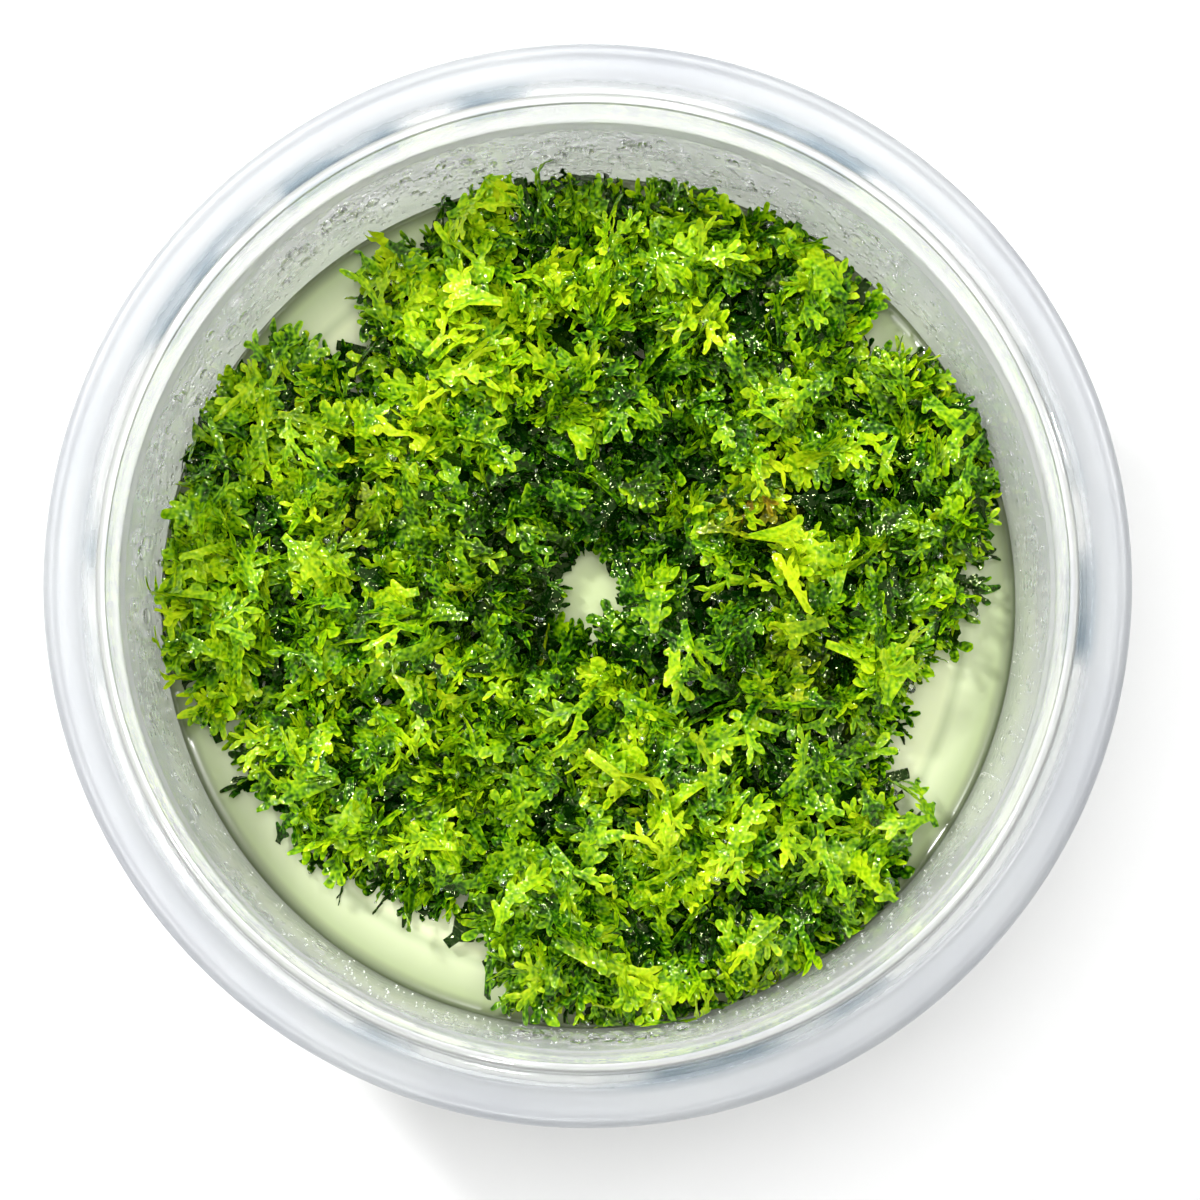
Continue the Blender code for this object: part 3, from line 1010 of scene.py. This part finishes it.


# %% [markdown]
# ## Moss green
# The ribbon is one cell layer thick at its edge and lets light through, so some light comes from behind.
# Young fronds are lime, older ones deep green, and a few have turned olive brown. The rim is paler than the
# midrib, partly as the thin edge's own colour and partly as painted light through it. Fronds low in the
# cushion and low in a crown are painted darker as shade. The water film on them makes sharp small glints.

# %% Moss material
def moss_green():
    paint = Paint("moss_green")
    grain = paint.noise(2600.0, 0.0)
    broad = paint.noise(420.0, 0.0)
    tone = paint.attribute("tint")
    for source, middle, amount in (
        (paint.attribute("along"), 0.8, 0.30),
        # painted shade: fronds are darker the lower they sit in the cushion
        (paint.attribute("depth"), 0.85, 0.75),
        # partly painted light: the rim is paler, for the thin edge's own colour and for the light through it
        (paint.attribute("rim"), 0.45, 0.24),
        (grain, 0.5, 0.80),
        (broad, 0.5, 0.60),
    ):
        tone = paint.sum("ADD", tone, paint.sum("MULTIPLY", paint.sum("SUBTRACT", source, middle), amount))
    green = paint.ramp(
        tone,
        [
            (0.0, (0.003, 0.028, 0.001)),
            (0.22, (0.030, 0.150, 0.002)),
            (0.45, (0.180, 0.440, 0.003)),
            (0.7, (0.410, 0.690, 0.004)),
            (1.0, (0.680, 0.870, 0.012)),
        ],
    )
    browns = [(0.0, (0.03, 0.02, 0.002)), (0.5, (0.24, 0.15, 0.008)), (1.0, (0.75, 0.52, 0.02))]
    old = paint.ramp(tone, browns)
    colour = paint.mix(paint.attribute("age"), green, old)
    paint.wire(colour, paint.surface.inputs["Base Color"])
    paint.wire(paint.span(broad, 0.35, 0.65, 0.04, 0.12), paint.surface.inputs["Roughness"])
    paint.value("IOR", 1.45)
    paint.value("Specular IOR Level", 0.9)
    paint.surface.inputs["Specular Tint"].default_value = (0.85, 1.0, 0.45, 1.0)
    paint.skin(1900.0, 1.0, 0.2)
    through = paint.node("ShaderNodeBsdfTranslucent")
    paint.wire(colour, through.inputs["Color"])
    both = paint.node("ShaderNodeMixShader")
    both.inputs["Fac"].default_value = 0.33
    paint.wire(paint.surface.outputs["BSDF"], both.inputs[1])
    paint.wire(through.outputs["BSDF"], both.inputs[2])
    paint.wire(both.outputs["Shader"], paint.output.inputs["Surface"])
    return paint.material


# %% Join each tuft's fronds
SHARP_RIM = math.radians(75.0)


def joined(name, parts, material):
    """One mesh of many fronds, with tint, age, rim, depth and place along the frond on its points."""
    mesh = bpy.data.meshes.new(name)
    shapes, placed, tints, ages, heights = zip(*parts)
    counts = np.array([len(shape.points) for shape in shapes])
    first = np.cumsum(counts) - counts
    points = np.concatenate(placed)
    corners = np.concatenate([shape.corners + start for shape, start in zip(shapes, first)])
    sizes = np.concatenate([shape.sizes for shape in shapes])
    mesh.vertices.add(len(points))
    mesh.vertices.foreach_set("co", (points * MM).ravel())
    mesh.loops.add(len(corners))
    mesh.loops.foreach_set("vertex_index", corners)
    mesh.polygons.add(len(sizes))
    mesh.polygons.foreach_set("loop_start", np.cumsum(sizes) - sizes)
    values = {
        "tint": np.repeat(tints, counts),
        "age": np.repeat(ages, counts),
        "rim": np.concatenate([shape.rim for shape in shapes]),
        # depth: how high a point stands in its cushion, which the moss material turns into painted shade
        "depth": (points[:, 2] - GEL_TOP) / np.repeat(heights, counts),
        "along": np.concatenate([shape.points[:, 1] / shape.length for shape in shapes]),
    }
    for key, numbers in values.items():
        mesh.attributes.new(key, "FLOAT", "POINT").data.foreach_set("value", numbers)
    mesh.update(calc_edges=True)
    mesh.validate()
    mesh.shade_smooth()
    mesh.set_sharp_from_angle(angle=SHARP_RIM)
    mesh.materials.append(material)
    piece = bpy.data.objects.new(name, mesh)
    bpy.context.scene.collection.objects.link(piece)
    return piece


moss = moss_green()
for name in TUFTS:
    tuft = joined("fronds_" + name.removeprefix("tuft_"), tuft_parts[name], moss)
    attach(tuft, "root")
    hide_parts(name)

# %% [markdown]
# ## Water
# Warm wet air has left beads of water on the wall: fine ones high on the far side, big ones in a row near
# the gel on the near side. A few drops lie in the moss. Each is one small ball, flattened against what it
# sits on, and all of a kind are joined in one mesh.


# %% Clear water
def clear_water():
    paint = Paint("clear_water")
    paint.value("IOR", 1.333)
    paint.value("Transmission Weight", 1.0)
    paint.value("Roughness", 0.02)
    paint.value("Coat Weight", 1.0)
    paint.value("Coat IOR", 1.7)
    paint.value("Coat Roughness", 0.12)
    paint.surface.inputs["Base Color"].default_value = (1.0, 1.0, 1.0, 1.0)
    return paint.material


def ball(subdivisions):
    """Points and triangles of a unit ball."""
    bm = bmesh.new()
    bmesh.ops.create_icosphere(bm, subdivisions=subdivisions, radius=1.0)
    bm.verts.index_update()
    points = np.array([item.co for item in bm.verts])
    faces = np.array([[item.index for item in face.verts] for face in bm.faces])
    bm.free()
    return points, faces


def beads(name, places, normals, sizes, flatness, subdivisions, material):
    """Balls at places in millimetres, flattened along their normals, as one mesh."""
    points, faces = ball(subdivisions)
    along = normals / np.linalg.norm(normals, axis=1)[:, None]
    scaled = points[None] * sizes[:, None, None]
    squash = (scaled * along[:, None]).sum(axis=2, keepdims=True) * along[:, None] * (1.0 - flatness)
    placed = places[:, None] + scaled - squash
    first = (np.arange(len(places)) * len(points))[:, None, None]
    mesh = bpy.data.meshes.new(name)
    mesh.from_pydata((placed.reshape(-1, 3) * MM).tolist(), [], (faces[None] + first).reshape(-1, 3).tolist())
    mesh.shade_smooth()
    mesh.materials.append(material)
    piece = bpy.data.objects.new(name, mesh)
    bpy.context.scene.collection.objects.link(piece)
    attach(piece, "root")
    print(name, len(places), "beads", len(mesh.polygons), "triangles")


def on_wall(angles, heights, sizes, flatness):
    """Places and inward normals of beads that touch the wall."""
    radii = wall_radius(heights) - sizes * flatness * 0.8
    places = np.stack([radii * np.cos(angles), radii * np.sin(angles), heights], axis=1)
    return places, -places * (1.0, 1.0, 0.0)


# %% Beads on the wall
FINE_BEADS = 1900
BIG_BEADS = 110
ROW_BEADS = 16
WALL_FLATNESS = 0.5
FAR_SIDE = math.radians(90.0)
NEAR_SIDE = math.radians(-88.0)

water = clear_water()
far, anywhere = rng.normal(FAR_SIDE, 0.9, FINE_BEADS), rng.uniform(0, math.tau, FINE_BEADS)
angles = np.where(rng.random(FINE_BEADS) < 0.6, far, anywhere)
heights = rng.uniform(GEL_EDGE + 1.5, STEP_HEIGHT - 0.3, FINE_BEADS)
sizes = rng.uniform(0.12, 0.34, FINE_BEADS)
beads("wall_mist", *on_wall(angles, heights, sizes, WALL_FLATNESS), sizes, WALL_FLATNESS, 1, water)
angles = np.concatenate([rng.normal(FAR_SIDE + 0.5, 0.6, BIG_BEADS), rng.normal(NEAR_SIDE, 0.13, ROW_BEADS)])
heights = np.concatenate([rng.uniform(27.0, 35.5, BIG_BEADS), rng.uniform(29.0, 33.0, ROW_BEADS)])
sizes = np.concatenate([rng.uniform(0.35, 0.85, BIG_BEADS), rng.uniform(0.7, 1.1, ROW_BEADS)])
beads("wall_drops", *on_wall(angles, heights, sizes, WALL_FLATNESS), sizes, WALL_FLATNESS, 2, water)

# %% Drops in the moss
tips = np.array([placed[shape.tip] for parts in tuft_parts.values() for shape, placed, *_ in parts])
upright = np.array((0.0, 0.0, 1.0))
DROPS_IN_MOSS = [  # name, count, smallest and largest radius, subdivisions
    ("moss_beads", 1500, 0.1, 0.24, 1),
    ("moss_drops", 200, 0.25, 0.55, 2),
]
for name, count, low, high, subdivisions in DROPS_IN_MOSS:
    places = tips[rng.choice(len(tips), count, replace=False)] + upright * 0.05
    sizes = rng.uniform(low, high, count)
    beads(name, places, np.tile(upright, (count, 1)), sizes, 0.75, subdivisions, water)
